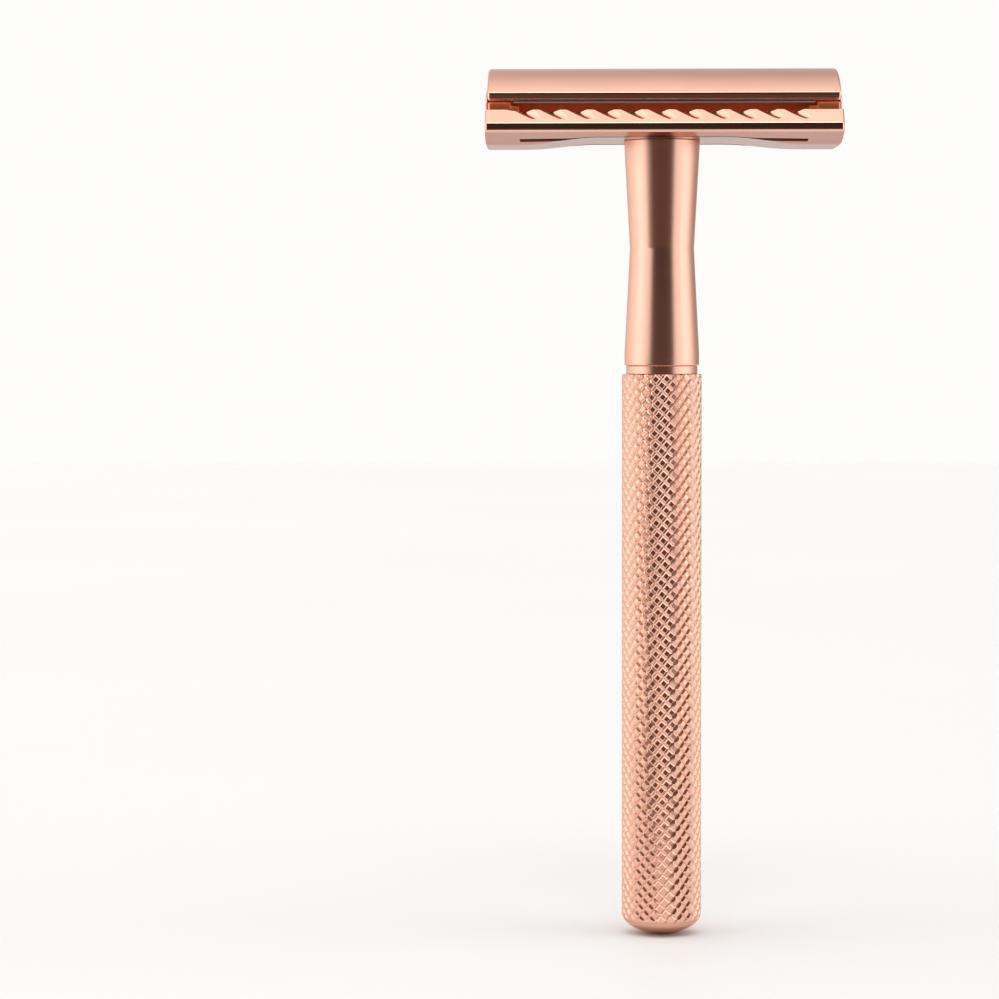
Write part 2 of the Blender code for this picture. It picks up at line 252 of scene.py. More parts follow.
ROSE = (0.86, 0.505, 0.385)
# Painted reflection: a duller, greyer rose for the plate's underside, standing for the dim floor behind
# that it reflects.
UNDERSIDE_REFLECTION_TINT = (0.66, 0.465, 0.41)
# Painted shade: a deep, dark rose for the scallops' grooves and the posts' front faces.
SHADE_PAINTED_ROSE = (0.60, 0.165, 0.06)
# Painted reflection: a bright orange rose for the blade channel and the posts, standing for warm light
# bounced between rose-gold walls.
RECESS_REFLECTION_TINT = (0.98, 0.33, 0.13)
STEEL = (0.50, 0.47, 0.44)
# Steel grey, with a painted warm tint standing for the rose-gold parts that the blade reflects.
BLADE_GREY_WITH_PAINTED_WARMTH = (0.44, 0.38, 0.34)
BRASS = (0.74, 0.55, 0.28)

POLISHED = metal("polished_rose_gold", ROSE, 0.10, (900.0, 2500.0, 2500.0), 0.0002)
# Bright orange copy of the rose gold with painted reflection, for the blade channel and the posts.
RECESS_PAINTED_REFLECTION = metal("recess_painted_reflection", RECESS_REFLECTION_TINT, 0.85, (1500.0, 1500.0, 1500.0), 0.0006)
# Dark copy of the rose gold with painted shade, for the scallops' grooves and the posts' front faces.
SHADED = metal("shaded_rose_gold", SHADE_PAINTED_ROSE, 0.5, (1500.0, 1500.0, 1500.0), 0.0006)
# Dull copy of the rose gold, with a painted reflection of the dim floor, for the plate's underside.
UNDERSIDE_PAINTED_REFLECTION = metal("underside_painted_reflection", UNDERSIDE_REFLECTION_TINT, 0.14, (900.0, 2500.0, 2500.0), 0.0002, edge=0.1)
SATIN = metal("satin_rose_gold", ROSE, 0.24, (60.0, 60.0, 9000.0), 0.0006)
KNURLED = metal("knurled_rose_gold", ROSE, 0.16, (2500.0, 2500.0, 2500.0), 0.0010)
PLAIN_STEEL = metal("plain_steel", STEEL, 0.25, (80.0, 80.0, 8000.0), 0.0006)
# Blade steel, with a painted warm reflection in its colour.
BLADE_STEEL = metal("blade_steel", BLADE_GREY_WITH_PAINTED_WARMTH, 0.5, (6000.0, 300.0, 300.0), 0.0004)
PLAIN_BRASS = metal("plain_brass", BRASS, 0.3, (80.0, 80.0, 8000.0), 0.0006)


# ---------------------------------------------------------------- cap

CAP_HALF_LENGTH = CAP_HIGH.x
CAP_HALF = CAP_HIGH.y
CREST = CAP_HIGH.z
RIM = CAP_LOW.z
CAP_RISE = 3.6
LIP_TOP = CREST - CAP_RISE
LIP_BOTTOM = LIP_TOP - 0.68
LIP_INSET = 0.25
CAP_ARCH_RADIUS = (CAP_HALF**2 + CAP_RISE**2) / (2 * CAP_RISE)
END_ROUNDING = 0.35
BLADE_BEND = 24.0
BLADE_HALF_WIDTH = 10.9
BLADE_HALF_THICKNESS = 0.05
CROWN_GAP = 0.05
SEAT_GAP = 0.1


def end_stations(half_length, rounding, steps=6):
    """(x, inset) pairs that round one end of a bar, from its face inwards."""
    angles = [pi / 2 * i / steps for i in range(steps + 1)]
    return [(half_length - rounding * (1 - cos(a)), rounding * (1 - sin(a))) for a in angles]


def make_cap():
    """Arched cap: rounded lip, rolled in at its foot, and a hollow underside that bends the blade."""
    top = arch(CAP_ARCH_RADIUS, CREST, CAP_HALF, 72)[1:-1]
    inner = CAP_HALF - LIP_INSET
    under = arch(BLADE_BEND + SEAT_GAP, BLADE_HIGH.z + CROWN_GAP, inner, 48)
    edge_fillet, foot_fillet, inner_fillet = 0.26, 0.9, 0.14
    shoulder = rounded([(*top[-1], 0, 0), (CAP_HALF, LIP_TOP, edge_fillet, 0),
                        (CAP_HALF, LIP_BOTTOM, foot_fillet, 0), (*under[-1], inner_fillet, 0),
                        (*under[-2], 0, 0)])[1:-1]
    left = [(-u, v) for u, v in shoulder[::-1]]
    outline = top + shoulder + under[::-1][1:-1] + left
    middle = (CREST + RIM) / 2
    rings = []
    ends = end_stations(CAP_HALF_LENGTH, END_ROUNDING)
    for x, inset in ends + [(-x, inset) for x, inset in ends[::-1]]:
        shrink_y = 1 - inset / CAP_HALF
        shrink_z = 1 - 2 * inset / (CREST - RIM)
        rings.append([(x, y * shrink_y, middle + (z - middle) * shrink_z) for y, z in outline])
    work = bmesh.new()
    add_rings(work, rings)
    place(finished("cap_shell", work), [POLISHED], "cap", "polished_rose_gold", "top_cap")


# ---------------------------------------------------------------- guard plate

PLATE_HALF_LENGTH = PLATE_HIGH.x
PLATE_HALF = PLATE_HIGH.y
PAD_BOTTOM = PLATE_LOW.z
BED_CROWN = PLATE_HIGH.z
BELLY = NECK_HIGH.z + 0.03
BAR_TOP = BELLY + 3.38
BAR_EDGE = PLATE_HALF - 1.7
BAR_INNER = PLATE_HALF - 2.15
NOSE_TOP = BELLY + 1.58
NOSE_BOTTOM = BELLY + 0.75
BAR_UNDERSIDE = BELLY + 0.45
PAD_HALF_WIDTH = 7.0
CHANNEL_FLOOR = BELLY + 2.15
BED_HALF_WIDTH = 7.9
SCALLOPS = 11
SCALLOP_PITCH = 3.36
SCALLOP_DEPTH = 0.62
SCALLOP_LEAN = 1.75
SCALLOP_CURVE = 1.15
SCALLOP_SOFTNESS = 0.16
SCALLOPED_END = 18.4
# Corner posts: from this x, to this x, and the top. Each is a tall block with a lower step beside it.
POST_BLOCKS = ((18.95, 21.8, RIM - 0.2), (17.95, 19.2, RIM - 0.65))
POST_DEPTHS = (7.6, 10.28)
# Polished rose gold and its copies with painted reflection and painted shade; each face of the plate
# gets one by where it is and which way it looks.
PLATE_PAINTED_LIGHT_COPIES = (POLISHED, RECESS_PAINTED_REFLECTION, UNDERSIDE_PAINTED_REFLECTION, SHADED)
OVERSHOOT = 2.0


def plate_outline():
    """Closed section (depth, height), split finely along the bars where the scallops are cut."""
    bed = arch(BLADE_BEND - SEAT_GAP, BED_CROWN, BED_HALF_WIDTH, 40)
    fine, plain = 0.11, 0.7
    right = [
        (*bed[-1], 0.1, plain), (BED_HALF_WIDTH, CHANNEL_FLOOR, 0.25, plain),
        (BAR_INNER, CHANNEL_FLOOR, 0.25, fine), (BAR_INNER, BAR_TOP - 0.2, 0.12, fine),
        (BAR_EDGE - 0.1, BAR_TOP, 0.12, fine), (PLATE_HALF - 0.06, NOSE_TOP, 0.3, fine),
        (PLATE_HALF, NOSE_BOTTOM, 0.2, plain), (PLATE_HALF - 0.3, BAR_UNDERSIDE, 0.2, 0.35),
        (PAD_HALF_WIDTH, PAD_BOTTOM, 30.0, 0.5)]
    left = [(-right[i][0], right[i][1], right[i][2], right[i - 1][3] if i else plain)
            for i in range(len(right) - 1, -1, -1)]
    middle = [(u, v, 0.0, 0.0) for u, v in bed[1:-1]]
    return rounded(middle + right + left)


def belly_height(x):
    """Height of the underside between the end pads: level by the neck, lower at the ends."""
    flat, pad = 8.0, 18.0
    t = min(max((abs(x) - flat) / (pad - flat), 0.0), 1.0)
    return PAD_BOTTOM + (BELLY - PAD_BOTTOM) * (0.5 + 0.5 * cos(pi * t))


def smooth_max(a, b, blend=0.12):
    """The higher of two heights, with the crossing rounded off."""
    overlap = max(blend - abs(a - b), 0.0) / blend
    return max(a, b) + overlap**2 * blend / 4


def scallop_lines():
    """Bottom line of each groove, from its top to its tip. One side is the other, turned round."""
    lines = []
    tip_depth, tip_height = PLATE_HALF - 0.35, NOSE_TOP + 0.42
    for side in (1, -1):
        for i in range(SCALLOPS):
            x = side * (i - (SCALLOPS - 1) / 2) * SCALLOP_PITCH
            top = Vector((side * (x - SCALLOP_LEAN / 2), -side * BAR_EDGE, BAR_TOP - SCALLOP_DEPTH))
            tip = Vector((side * (x + SCALLOP_LEAN / 2), -side * tip_depth, tip_height))
            lines.append((top, tip))
    return lines


def carved(point, lines):
    """Lower a point of the bar into the groove beside it, with rounded crests between grooves."""
    height = point.z
    groove_reach = 3.0
    for top, tip in lines:
        if top.y * point.y < 0 or abs(point.x - (top.x + tip.x) / 2) > groove_reach:
            continue
        along = (tip - top).to_2d()
        offset = (point - top).to_2d()
        t = offset.dot(along) / along.length_squared
        away = (offset - along * t).length
        groove = top.z + (tip.z - top.z) * t + SCALLOP_CURVE * away**2
        height = -smooth_max(-height, -groove, SCALLOP_SOFTNESS)
    return Vector((point.x, point.y, height))


def plate_stations():
    """(x, inset) along the plate: rounded ends, and close steps where the scallops are."""
    ends = end_stations(PLATE_HALF_LENGTH, END_ROUNDING)
    fine, plain = 0.12, 0.6
    inner = ends[-1][0]
    gap = inner - SCALLOPED_END
    wide_count = ceil(gap / plain)
    wide = [inner - gap * i / wide_count for i in range(1, wide_count)]
    count = ceil(2 * SCALLOPED_END / fine)
    dense = [SCALLOPED_END - 2 * SCALLOPED_END * i / count for i in range(count + 1)]
    stations = ends + [(x, 0.0) for x in wide + dense] + [(-x, 0.0) for x in wide[::-1]]
    return stations + [(-x, inset) for x, inset in ends[::-1]]


def plate_body():
    """Plate lofted along its length: blade bed, channels, scalloped bars and arched underside."""
    outline = plate_outline()
    lines = scallop_lines()
    belly_top, belly_half = BELLY + 0.6, PLATE_HALF - 0.25
    bar_from, bar_low = BAR_INNER - 0.05, NOSE_TOP - 0.2
    end_taper = 4.0
    middle = (BAR_TOP + PAD_BOTTOM) / 2
    rings = []
    for x, inset in plate_stations():
        shrink = 1 - inset / PLATE_HALF
        ring = []
        for y, z in outline:
            if z < belly_top and abs(y) < belly_half:
                z = smooth_max(z, belly_height(x))
            point = Vector((x, y * shrink, middle + (z - middle) * (1 - inset / end_taper)))
            if abs(y) > bar_from and z > bar_low:
                point = carved(point, lines)
            ring.append(point)
        rings.append(ring)
    work = bmesh.new()
    add_rings(work, rings)
    return finished("guard_base", work)


def make_guard():
    """Plate with its corner posts joined on, its slots and holes cut, and each face given polished rose
    gold, or its copy with painted reflection, or its copy with painted shade.
    """
    plate = plate_body()
    posts = [corner_post(side_x, side_y, *block) for side_x in (-1, 1) for side_y in (-1, 1)
             for block in POST_BLOCKS]
    boolean(plate, posts, "UNION")
    pin_x = (PIN_LOW.x + PIN_HIGH.x) / 2
    pin_hole, stud_hole = PIN_HIGH.y + 0.25, STUD_HIGH.y + 0.22
    tools = [lather_slot(side) for side in (-1, 1)]
    tools += [drill("pin_hole", side * pin_x, pin_hole, PIN_LOW.z - 0.3) for side in (-1, 1)]
    tools.append(drill("stud_hole", 0.0, stud_hole))
    boolean(plate, tools)
    plate.data.set_sharp_from_angle(angle=radians(32))
    place(plate, PLATE_PAINTED_LIGHT_COPIES, "guard", "polished_rose_gold", "guard_plate")
    for face in plate.data.polygons:
        face.material_index = PLATE_PAINTED_LIGHT_COPIES.index(plate_painted_light(face.center / MM, face.normal))


def plate_painted_light(centre, normal):
    """Which copy of the rose gold a face of the plate gets, from where its centre is and which way it
    looks: painted reflection on the underside and in the channel, painted shade on grooves and post
    fronts, else polished.
    """
    depth = abs(centre.y)
    if normal.z < -0.5 and centre.z < BAR_UNDERSIDE + 0.1:
        return UNDERSIDE_PAINTED_REFLECTION
    if depth > BAR_INNER + 0.05 and centre.z > NOSE_TOP and abs(centre.x) < SCALLOPED_END + 0.1:
        return bar_painted_shade(centre, normal)
    in_channel = BED_HALF_WIDTH - 0.35 < depth < BAR_INNER + 0.06
    if not in_channel or not CHANNEL_FLOOR - 0.3 < centre.z < RIM - 0.1:
        return POLISHED
    if abs(centre.x) > POST_BLOCKS[1][0] - 0.05:
        if normal.x * centre.x > 0.5 * abs(centre.x):
            return POLISHED
        return SHADED if abs(normal.y) > 0.6 and depth > POST_DEPTHS[1] - 0.28 else RECESS_PAINTED_REFLECTION
    return RECESS_PAINTED_REFLECTION if depth < BAR_INNER - 0.02 or centre.z < BAR_TOP - 0.3 else POLISHED


def bar_painted_shade(centre, normal):
    """Painted shade on the steep flank of each scallop, polished on the rest of the bar."""
    along = normal.x * (-1 if centre.y > 0 else 1)
    down = max(0.0, (abs(centre.y) - BAR_EDGE) / (PLATE_HALF - BAR_EDGE))
    sunk = BAR_TOP + (NOSE_TOP - BAR_TOP) * down - centre.z
    return SHADED if (sunk > 0.16 and along > -0.12) or along > 0.3 else POLISHED


def corner_post(side_x, side_y, inner, outer, high):
    """Rounded block between bar and cap that keeps a corner of the blade in place."""
    near, far = POST_DEPTHS
    low = CHANNEL_FLOOR - 0.5
    back_fillet, front_fillet, soften = 0.2, 0.3, 0.18
    outline = rounded([(inner, near, back_fillet, 0), (outer, near, back_fillet, 0),
                       (outer, far, front_fillet, 0), (inner, far, front_fillet, 0)])
    centre = Vector(((inner + outer) / 2, (near + far) / 2))
    half_x, half_y = 1.4, 1.3
    rings = []
    for height, inset in ((low, 0.0), (high - soften, 0.0), (high - 0.3 * soften, 0.3 * soften),
                          (high, soften)):
        rings.append([Vector((side_x * (centre.x + (x - centre.x) * (1 - inset / half_x)),
                              side_y * (centre.y + (y - centre.y) * (1 - inset / half_y)), height))
                      for x, y in outline])
    work = bmesh.new()
    add_rings(work, rings)
    return finished("corner_post", work)


def lather_slot(side):
    """Cutter for the long slot behind a guard bar, bowed slightly towards the bar."""
    middle, end, half_length, width = 9.2, 8.75, 17.9, 1.3
    bow = middle - end
    radius = (half_length**2 + bow**2) / (2 * bow)
    reach = asin(half_length / radius)
    steps = 48
    outline = []
    for offset, order in ((width / 2, 1), (-width / 2, -1)):
        for i in range(steps + 1)[::order]:
            a = -reach + 2 * reach * i / steps
            outline.append(((radius + offset) * sin(a),
                            side * (middle - radius + (radius + offset) * cos(a))))
    work = bmesh.new()
    low, high = PAD_BOTTOM - OVERSHOOT, CHANNEL_FLOOR + 0.9
    add_rings(work, [[(x, y, z) for x, y in outline] for z in (low, high)])
    return finished("lather_slot", work)


def drill(name, x, radius, bottom=PAD_BOTTOM - OVERSHOOT):
    """Cutter for a round hole at x, from bottom up through the bed."""
    work = bmesh.new()
    add_rings(work, [circle(radius, z, 64, x) for z in (bottom, BED_CROWN + OVERSHOOT)])
    return finished(name, work)


# ---------------------------------------------------------------- blade, stud and pins

def make_blade():
    """Thin sheet bent over the bed, with ground edges, notched corners and the slotted middle."""
    crown = BLADE_HIGH.z - BLADE_HALF_THICKNESS
    reach = BLADE_BEND * sin(BLADE_HALF_WIDTH / BLADE_BEND)
    half = BLADE_HALF_THICKNESS
    ground = 0.25
    over = arch(BLADE_BEND + half, crown + half, reach - ground, 72)
    under = arch(BLADE_BEND - half, crown - half, reach - ground, 72)
    edge = arch(BLADE_BEND, crown, reach, 2)
    outline = [edge[0]] + over + [edge[2]] + under[::-1]
    half_length = BLADE_HIGH.x
    work = bmesh.new()
    add_rings(work, [[(x, y, z) for y, z in outline] for x in (half_length, -half_length)])
    blade = finished("razor_blade", work)
    pin_x = (PIN_LOW.x + PIN_HIGH.x) / 2
    edge_half_length, tab_half_width, slot_end, slot_half_width = 18.65, 6.5, 16.5, 0.85
    past_end, past_edge = 24.0, 14.0
    tools = [slab(sx * edge_half_length, sx * past_end, sy * tab_half_width, sy * past_edge)
             for sx in (-1, 1) for sy in (-1, 1)]
    tools.append(slab(-slot_end, slot_end, -slot_half_width, slot_half_width))
    tools += [drill("eye", x, radius) for x, radius in ((0.0, 3.1), (pin_x, 1.75), (-pin_x, 1.75))]
    boolean(blade, tools)
    blade.data.set_sharp_from_angle(angle=radians(30))
    place(blade, [BLADE_STEEL], "blade", "blade_steel", "double_edge_blade")


def slab(x0, x1, y0, y1):
    """Square cutter through the whole height of the blade."""
    work = bmesh.new()
    ring = [(x0, y0), (x1, y0), (x1, y1), (x0, y1)]
    clear = 3.0
    add_rings(work, [[(x, y, z) for x, y in ring] for z in (BLADE_LOW.z - clear, BLADE_HIGH.z + clear)])
    return finished("slab", work)


def make_stud():
    """M5 stud with a real helical thread that fades out at its tip and into a plain shank."""
    major, pitch, thread_depth = STUD_HIGH.y, 0.8, 0.4
    minor = major - thread_depth
    segments, levels_per_turn = 48, 8
    bottom, thread_top = STUD_LOW.z, BED_CROWN - 1.0
    lead_in, run_out = 0.5, 0.3
    root_width, crest_width = 1.25, 1.1
    count = ceil((thread_top - bottom) / pitch * levels_per_turn)
    rings = []
    for k in range(count + 1):
        z = bottom + (thread_top - bottom) * k / count
        fade = max(0.0, min(1.0, (z - bottom) / lead_in, (thread_top - z) / run_out))
        base = major if z > thread_top - run_out else minor
        ring = []
        for i in range(segments):
            phase = (z / pitch - i / segments) % 1.0
            height = max(0.0, 1 - abs(2 * phase - 1) * root_width)
            threaded = minor + thread_depth * min(1.0, height * crest_width)
            r = base + (threaded - base) * fade
            a = 2 * pi * i / segments
            ring.append((r * cos(a), r * sin(a), z))
        rings.append(ring)
    rings += [circle(major, z, segments) for z in (thread_top + 0.05, STUD_HIGH.z)]
    work = bmesh.new()
    add_rings(work, rings)
    place(finished("threaded_stud", work, 50), [PLAIN_STEEL], "cap", "plain_steel", "cap_stud")


def make_pin(name, node):
    """Plain pin with a rounded tip."""
    low, high = box_mm(node)
    radius = high.y
    tip = 0.35
    profile = [(0.0, high.z), (radius, high.z), (radius, low.z + tip), (radius - 0.1, low.z + 0.12),
               (radius - tip, low.z), (0.0, low.z)]
    pin = turned(name, profile, 48)
    pin.location.x = (low.x + high.x) / 2 * MM
    place(pin, [PLAIN_STEEL], "cap", "plain_steel", node)


# ---------------------------------------------------------------- handle

NECK_WAIST_DROP = 13.6
NECK_WAIST_RADIUS = 4.06
NECK_FOOT_RADIUS = 4.74
NECK_FOOT_BAND = 1.5
ROD_BORE = 2.55


def make_neck():
    """Two satin cones that meet in a crisp crease at the waist, over a short straight foot."""
    top, bottom = NECK_HIGH.z, NECK_LOW.z
    waist = top - NECK_WAIST_DROP
    edge, hold, top_edge = 0.12, 0.05, 0.04
    bore, insert_depth, rod_depth = 3.5, 9.7, 9.5
    profile = [(0.0, top - insert_depth), (bore, top - insert_depth), (bore, top),
               (NECK_HIGH.x - top_edge, top), (NECK_HIGH.x, top - top_edge), (NECK_WAIST_RADIUS, waist),
               (NECK_FOOT_RADIUS, bottom + NECK_FOOT_BAND), (NECK_FOOT_RADIUS, bottom + edge + hold),
               (NECK_FOOT_RADIUS, bottom + edge),
               (NECK_FOOT_RADIUS - 0.3 * edge, bottom + 0.3 * edge), (NECK_FOOT_RADIUS - edge, bottom),
               (ROD_BORE, bottom), (ROD_BORE, bottom + rod_depth), (0.0, bottom + rod_depth)]
    neck = turned("neck_shank", profile, 256, crease_at=waist)
    place(neck, [SATIN], "handle", "satin_rose_gold", "neck")


def make_ring():
    """Ring between neck and grip, smaller than both, which shows as a groove."""
    edge = 0.05
    outer, top, bottom = RING_HIGH.x, RING_HIGH.z, RING_LOW.z
    profile = [(ROD_BORE, top), (outer - edge, top), (outer, top - edge), (outer, bottom + edge),
               (outer - edge, bottom), (ROD_BORE, bottom)]
    ring = turned("groove_ring", profile, closed=True)
    place(ring, [SATIN], "handle", "satin_rose_gold", "collar_ring")


GRIP_RADIUS = GRIP_HIGH.x
DOME_HEIGHT = 2.65
END_RIM = GRIP_LOW.z - 0.03
# The knurl's two sets of helical grooves: how many, how far apart along the grip, and how deep.
STARTS = (23, 21)
AXIAL_PITCH = (1.652, 1.385)
GROOVE_DEPTH = (0.20, 0.17)
# Across one knurl pitch: share of the pitch, then depth as a share of the groove's depth.
KNURL_LINES = ((0.0, 1.0), (0.05, 0.82), (0.23, 0.05), (0.265, 0.0), (0.735, 0.0), (0.77, 0.05),
               (0.95, 0.82))


def dome_radius(z):
    """Radius of the handle's domed end, an ellipse, at height z above its lowest point."""
    t = max(0.0, 1 - z / DOME_HEIGHT)
    return GRIP_RADIUS * sqrt(max(0.0, 1 - t * t))


def add_knurl(work, top, bottom):
    """Skin of the knurl: two opposed sets of helical grooves leave flat-topped diamonds.

    The skin is a lattice. a counts lines across the first set of grooves and b across the second,
    with m lines to a pitch, and it wraps onto itself once round the grip.
    """
    m = len(KNURL_LINES)
    n1, n2 = STARTS
    p1, p2 = AXIAL_PITCH
    scale = n1 / p2 + n2 / p1
    verts = {}

    def vertex(a, b):
        turns = a // (n1 * m)
        key = (a - turns * n1 * m, b - turns * n2 * m)
        if key not in verts:
            i, s = divmod(key[0], m)
            j, t = divmod(key[1], m)
            phase1 = i + KNURL_LINES[s][0]
            phase2 = j + KNURL_LINES[t][0]
            turn = (phase1 / p2 + phase2 / p1) / scale
            z = (n2 * phase1 - n1 * phase2) / scale
            depth = max(GROOVE_DEPTH[0] * KNURL_LINES[s][1], GROOVE_DEPTH[1] * KNURL_LINES[t][1])
            angle = -2 * pi * turn
            r = GRIP_RADIUS - depth
            verts[key] = work.verts.new((r * sin(angle), -r * cos(angle), z))
        return verts[key]

    for i in range(n1):
        low = int((n2 * i - scale * (top + OVERSHOOT)) / n1) - 1
        high = int((n2 * (i + 1) - scale * (bottom - OVERSHOOT)) / n1) + 1
        for j in range(low, high + 1):
            for s in range(m):
                for t in range(m):
                    a, b = i * m + s, j * m + t
                    corners = [vertex(a, b), vertex(a + 1, b), vertex(a + 1, b + 1), vertex(a, b + 1)]
                    # Split each quad so that its crease runs out of the groove crossing.
                    if (s < m // 2) == (t < m // 2):
                        work.faces.new((corners[0], corners[1], corners[2]))
                        work.faces.new((corners[0], corners[2], corners[3]))
                    else:
                        work.faces.new((corners[0], corners[1], corners[3]))
                        work.faces.new((corners[1], corners[2], corners[3]))


def split_at(work, z, upwards=1, trim=False):
    """Cut the skin at a level, and with trim remove what is beyond it."""
    bmesh.ops.bisect_plane(work, geom=work.verts[:] + work.edges[:] + work.faces[:],
                           plane_co=(0, 0, z), plane_no=(0, 0, upwards), clear_outer=trim)


def make_grip():
    """Knurled sleeve: chamfered at its top, and turned down to the dome at its foot."""
    top, bottom, edge = GRIP_HIGH.z, GRIP_LOW.z, 0.1
    work = bmesh.new()
    add_knurl(work, top, bottom)
    split_at(work, top, 1, trim=True)
    split_at(work, bottom, -1, trim=True)
    dome_levels = 5
    split_at(work, top - edge)
    for k in range(1, dome_levels + 1):
        split_at(work, bottom + (DOME_HEIGHT - bottom) * k / dome_levels)
    for vert in work.verts:
        r = hypot(vert.co.x, vert.co.y)
        limit = GRIP_RADIUS - max(0.0, vert.co.z - (top - edge))
        limit = min(limit, dome_radius(vert.co.z))
        if r > limit:
            vert.co.x *= limit / r
            vert.co.y *= limit / r
    close_sleeve(work, top, bottom)
    grip = finished("knurled_grip", work, 10)
    place(grip, [KNURLED], "handle", "knurled_rose_gold", "grip")


def open_loop(work, z):
    """Vertices of the open edge at a level, in order round the sleeve."""
    edges = [e for e in work.edges if e.is_boundary and all(abs(v.co.z - z) < ON_LEVEL for v in e.verts)]
    touching = {}
    for edge in edges:
        for vert in edge.verts:
            touching.setdefault(vert, []).append(edge)
    last = edges[0]
    order = [last.verts[0], last.verts[1]]
    while True:
        last = [e for e in touching[order[-1]] if e is not last][0]
        ahead = last.other_vert(order[-1])
        if ahead is order[0]:
            return order
        order.append(ahead)


def close_sleeve(work, top, bottom):
    """Close the knurled skin with flat ends and the stepped bore inside."""
    bore, seat, step_z, segments = 2.65, 4.1, 9.1, 96
    ends = [(open_loop(work, z), z, radius) for z, radius in ((top, bore), (bottom, seat))]
    rims = []
    for outer, z, radius in ends:
        angles = [atan2(v.co.y, v.co.x) for v in outer]
        rim = [work.verts.new((radius * cos(a), radius * sin(a), z)) for a in angles]
        for i in range(len(rim)):
            j = (i + 1) % len(rim)
            work.faces.new((outer[i], outer[j], rim[j], rim[i]))
        rims.append(rim)
    # The step has its own even rings, which the bores join to the uneven rims.
    steps = [[work.verts.new(point) for point in circle(radius, step_z, segments)]
             for radius in (bore, seat)]
    upper, lower = steps
    for i in range(segments):
        j = (i + 1) % segments
        work.faces.new((upper[i], upper[j], lower[j], lower[i]))

    def loop_edges(ring):
        return [work.edges.get((ring[i], ring[(i + 1) % len(ring)])) for i in range(len(ring))]

    for rim, step in zip(rims, steps):
        bmesh.ops.bridge_loops(work, edges=loop_edges(rim) + loop_edges(step))


def make_end_cap():
    """Smooth domed end with its spigot inside the grip."""
    bore_floor, spigot, top = 2.9, 4.0, END_HIGH.z
    steps = 24
    start = asin(1 - END_RIM / DOME_HEIGHT)
    dome = []
    for i in range(steps + 1):
        a = start + (pi / 2 - start) * i / steps
        dome.append((GRIP_RADIUS * cos(a) if i < steps else 0.0, DOME_HEIGHT * (1 - sin(a))))
    profile = [(0.0, bore_floor), (ROD_BORE, bore_floor), (ROD_BORE, top), (spigot, top),
               (spigot, END_RIM)]
    end_cap = turned("domed_end", profile + dome, 256)
    place(end_cap, [SATIN], "handle", "satin_rose_gold", "end_cap")


# ---------------------------------------------------------------- studio

def make_floor():
    """Pale floor, just under the razor's foot and reaching far back."""
    work = bmesh.new()
    front, back, side, level = -85.0, 1600.0, 340.0, -0.02
    corners = [(-side, front), (side, front), (side, back), (-side, back)]
    work.faces.new([work.verts.new((x, y, level)) for x, y in corners])
    floor = finished("floor", work)
    material, nodes, links, shader = shader_nodes("pale_floor")
    shader.inputs["Roughness"].default_value = 0.6
    tint = stretched_noise(nodes, links, (4.0, 4.0, 4.0), 2.0)
    ramp = nodes.new("ShaderNodeValToRGB")
    ramp.color_ramp.elements[0].color = (0.84, 0.835, 0.83, 1.0)
    ramp.color_ramp.elements[1].color = (0.88, 0.875, 0.87, 1.0)
    links.new(tint, ramp.inputs["Fac"])
    links.new(ramp.outputs["Color"], shader.inputs["Base Color"])
    floor.data.materials.append(material)


def math_node(nodes, links, operation, first, second=None):
    node = nodes.new("ShaderNodeMath")
    node.operation = operation
    for socket, value in zip(node.inputs, (first, second)):
        if value is None:
            continue
        if isinstance(value, (int, float)):
            socket.default_value = value
        else:
            links.new(value, socket)
    return node.outputs["Value"]


def ramp_node(nodes, links, value, low, high, out_low, out_high):
    """Smooth step from out_low at low to out_high at high."""
    node = nodes.new("ShaderNodeMapRange")
    node.interpolation_type = "SMOOTHSTEP"
    node.inputs["From Min"].default_value = low
    node.inputs["From Max"].default_value = high
    node.inputs["To Min"].default_value = out_low
    node.inputs["To Max"].default_value = out_high
    links.new(value, node.inputs["Value"])
    return node.outputs["Result"]


def mix_node(nodes, links, factor, first, second):
    node = nodes.new("ShaderNodeMix")
    node.data_type = "RGBA"
    links.new(factor, node.inputs["Factor"])
    for socket, value in ((node.inputs[6], first), (node.inputs[7], second)):
        if isinstance(value, tuple):
            socket.default_value = (*value, 1.0)
        else:
            links.new(value, socket)
    return node.outputs[2]


WHITE = (1.0, 0.99, 0.98)
BACKDROP = (0.985, 0.978, 0.972)
ROOM_DARK = (0.115, 0.068, 0.058)
DARK_TOP = (0.032, 0.024, 0.026)
WALL_LEVEL = 1.18
PANEL_GAIN = 0.44
OVERHEAD_GAIN = 0.32
STRIP_GAIN = 2.6
CEILING_GAIN = 0.12


